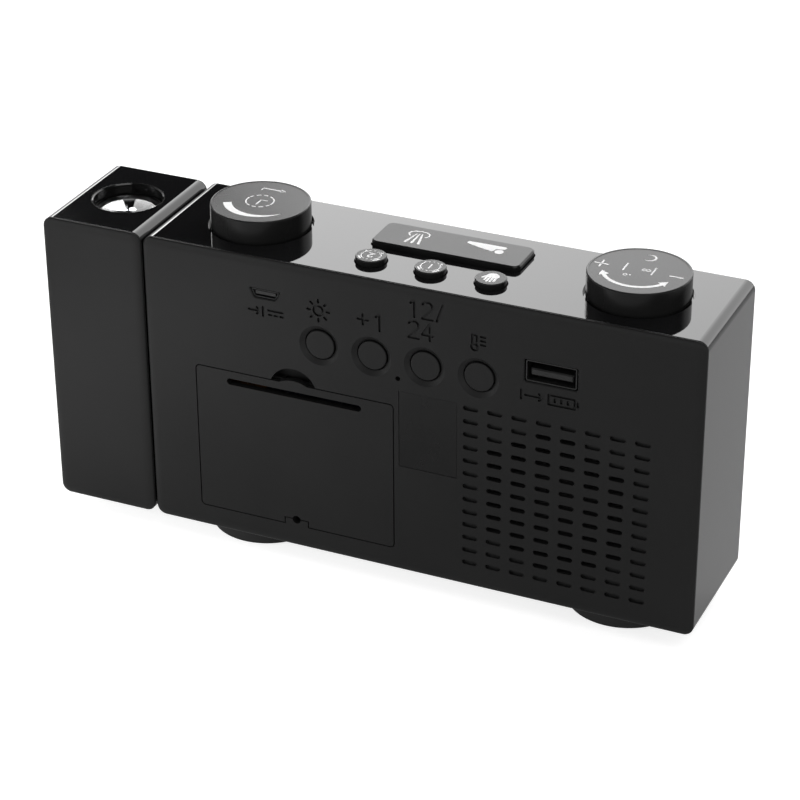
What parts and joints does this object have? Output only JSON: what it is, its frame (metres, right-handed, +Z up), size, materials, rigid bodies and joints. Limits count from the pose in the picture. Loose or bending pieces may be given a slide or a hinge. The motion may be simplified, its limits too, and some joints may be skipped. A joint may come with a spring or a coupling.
{
  "type": "projection alarm clock",
  "caption": "Box clock with a smoked front display, round top knobs, a snooze bar, push buttons, ports and a swivelling projector block on one end.",
  "frame": {"origin": "on the table, under the middle of the whole clock, at the underside of the foot pads", "axes": "+Z up, the display faces -Y, the ports and battery door face +Y, the projector block is at +X"},
  "size_m": [0.18, 0.0372, 0.093],
  "materials": {
    "gloss_black": "polished",
    "matte_black": "fine matte",
    "key_grey": "satin",
    "smoked_window": "smoked gloss",
    "display_black": "gloss",
    "display_lit": "lit segments",
    "board_green": "lacquered",
    "port_black": "blackened shells and tongues",
    "component_black": "matte",
    "steel": "brushed",
    "nickel": "nickel plated",
    "cone_paper": "coated paper",
    "magnet": "zinc plated",
    "foam": "foam and felt",
    "cell_wrap": "printed sleeve",
    "label_black": "satin film",
    "foot_black": "matte",
    "pad_rubber": "matte",
    "lens_glass": "polished",
    "slide_film": "printed film on glass",
    "ring_black": "gloss",
    "led_white": "clear dome"
  },
  "bodies": {
    "housing": {"body_shell": "gloss_black", "rear_cover": "matte_black", "front_window": "smoked_window", "front_chassis": "matte_black", "display_block": "display_black", "display_digits": "display_lit", "main_board": "board_green", "board_components": "component_black", "top_board": "board_green", "top_switches": "component_black", "rear_board": "board_green", "rear_switches": "component_black", "usb_a_shell": "port_black", "usb_a_tongue": "port_black", "micro_usb_shell": "port_black", "micro_usb_tongue": "port_black", "speaker_frame": "steel", "speaker_cone": "cone_paper", "speaker_magnet": "magnet", "speaker_gasket": "foam", "battery_1": "cell_wrap", "battery_2": "cell_wrap", "battery_3": "cell_wrap", "battery_springs": "nickel", "battery_contacts": "nickel", "label_plate": "label_black", "foot_left": "foot_black", "foot_right": "foot_black", "foot_pads": "pad_rubber", "enter_encoder": "steel", "volume_encoder": "steel", "case_screws": "steel", "board_screws": "steel", "friction_washer": "foam"},
    "projector": {"projector_shell": "gloss_black", "projector_cover": "matte_black", "lens_ring": "ring_black", "projection_lens": "lens_glass", "lens_barrel": "component_black", "image_slide": "slide_film", "condenser_lens": "lens_glass", "projector_led": "led_white", "led_board": "board_green", "pivot_tube": "component_black", "pivot_clip": "steel"},
    "enter_press_carrier": {"enter_plunger": "component_black"},
    "enter_turn_knob": {"enter_shaft": "steel", "enter_knob": "key_grey"},
    "volume_press_carrier": {"volume_plunger": "component_black"},
    "volume_turn_knob": {"volume_shaft": "steel", "volume_knob": "key_grey"},
    "snooze_key": {"snooze_bar": "key_grey"},
    "alarm_2_key": {"alarm_2_button": "key_grey"},
    "alarm_1_key": {"alarm_1_button": "key_grey"},
    "hand_key": {"hand_button": "key_grey"},
    "rear_key_1": {"rear_button_1": "matte_black"},
    "rear_key_2": {"rear_button_2": "matte_black"},
    "rear_key_3": {"rear_button_3": "matte_black"},
    "rear_key_4": {"rear_button_4": "matte_black"},
    "door": {"battery_door": "matte_black"}
  },
  "joints": [
    {"name": "projector_tilt", "type": "hinge", "parent": "housing", "child": "projector", "pos_m": [0.06145, 0, 0.0459], "axis": [1, 0, 0], "range_deg": [-90, 90]},
    {"name": "enter_press", "type": "slide", "parent": "housing", "child": "enter_press_carrier", "axis": [0, 0, -1], "range_m": [0, 0.0005], "stiffness_N_per_m": 600, "springref_m": -0.0005},
    {"name": "enter_turn", "type": "hinge", "parent": "enter_press_carrier", "child": "enter_turn_knob", "pos_m": [0.03625, -0.0005, 0.093], "axis": [0, 0, 1], "continuous": true},
    {"name": "volume_press", "type": "slide", "parent": "housing", "child": "volume_press_carrier", "axis": [0, 0, -1], "range_m": [0, 0.0005], "stiffness_N_per_m": 600, "springref_m": -0.0005},
    {"name": "volume_turn", "type": "hinge", "parent": "volume_press_carrier", "child": "volume_turn_knob", "pos_m": [-0.06605, -0.0005, 0.093], "axis": [0, 0, 1], "continuous": true},
    {"name": "snooze_press", "type": "slide", "parent": "housing", "child": "snooze_key", "axis": [0, 0, -1], "range_m": [0, 0.0005], "stiffness_N_per_m": 600, "springref_m": -0.0005},
    {"name": "alarm_2_press", "type": "slide", "parent": "housing", "child": "alarm_2_key", "axis": [0, 0, -1], "range_m": [0, 0.0005], "stiffness_N_per_m": 600, "springref_m": -0.0005},
    {"name": "alarm_1_press", "type": "slide", "parent": "housing", "child": "alarm_1_key", "axis": [0, 0, -1], "range_m": [0, 0.0005], "stiffness_N_per_m": 600, "springref_m": -0.0005},
    {"name": "hand_press", "type": "slide", "parent": "housing", "child": "hand_key", "axis": [0, 0, -1], "range_m": [0, 0.0005], "stiffness_N_per_m": 600, "springref_m": -0.0005},
    {"name": "rear_1_press", "type": "slide", "parent": "housing", "child": "rear_key_1", "axis": [0, -1, 0], "range_m": [0, 0.0005], "stiffness_N_per_m": 600, "springref_m": -0.0005},
    {"name": "rear_2_press", "type": "slide", "parent": "housing", "child": "rear_key_2", "axis": [0, -1, 0], "range_m": [0, 0.0005], "stiffness_N_per_m": 600, "springref_m": -0.0005},
    {"name": "rear_3_press", "type": "slide", "parent": "housing", "child": "rear_key_3", "axis": [0, -1, 0], "range_m": [0, 0.0005], "stiffness_N_per_m": 600, "springref_m": -0.0005},
    {"name": "rear_4_press", "type": "slide", "parent": "housing", "child": "rear_key_4", "axis": [0, -1, 0], "range_m": [0, 0.0005], "stiffness_N_per_m": 600, "springref_m": -0.0005},
    {"name": "battery_door_open", "type": "hinge", "parent": "housing", "child": "door", "pos_m": [0.0188, 0.0186, 0.012], "axis": [-1, 0, 0], "range_deg": [0, 85]}
  ]
}
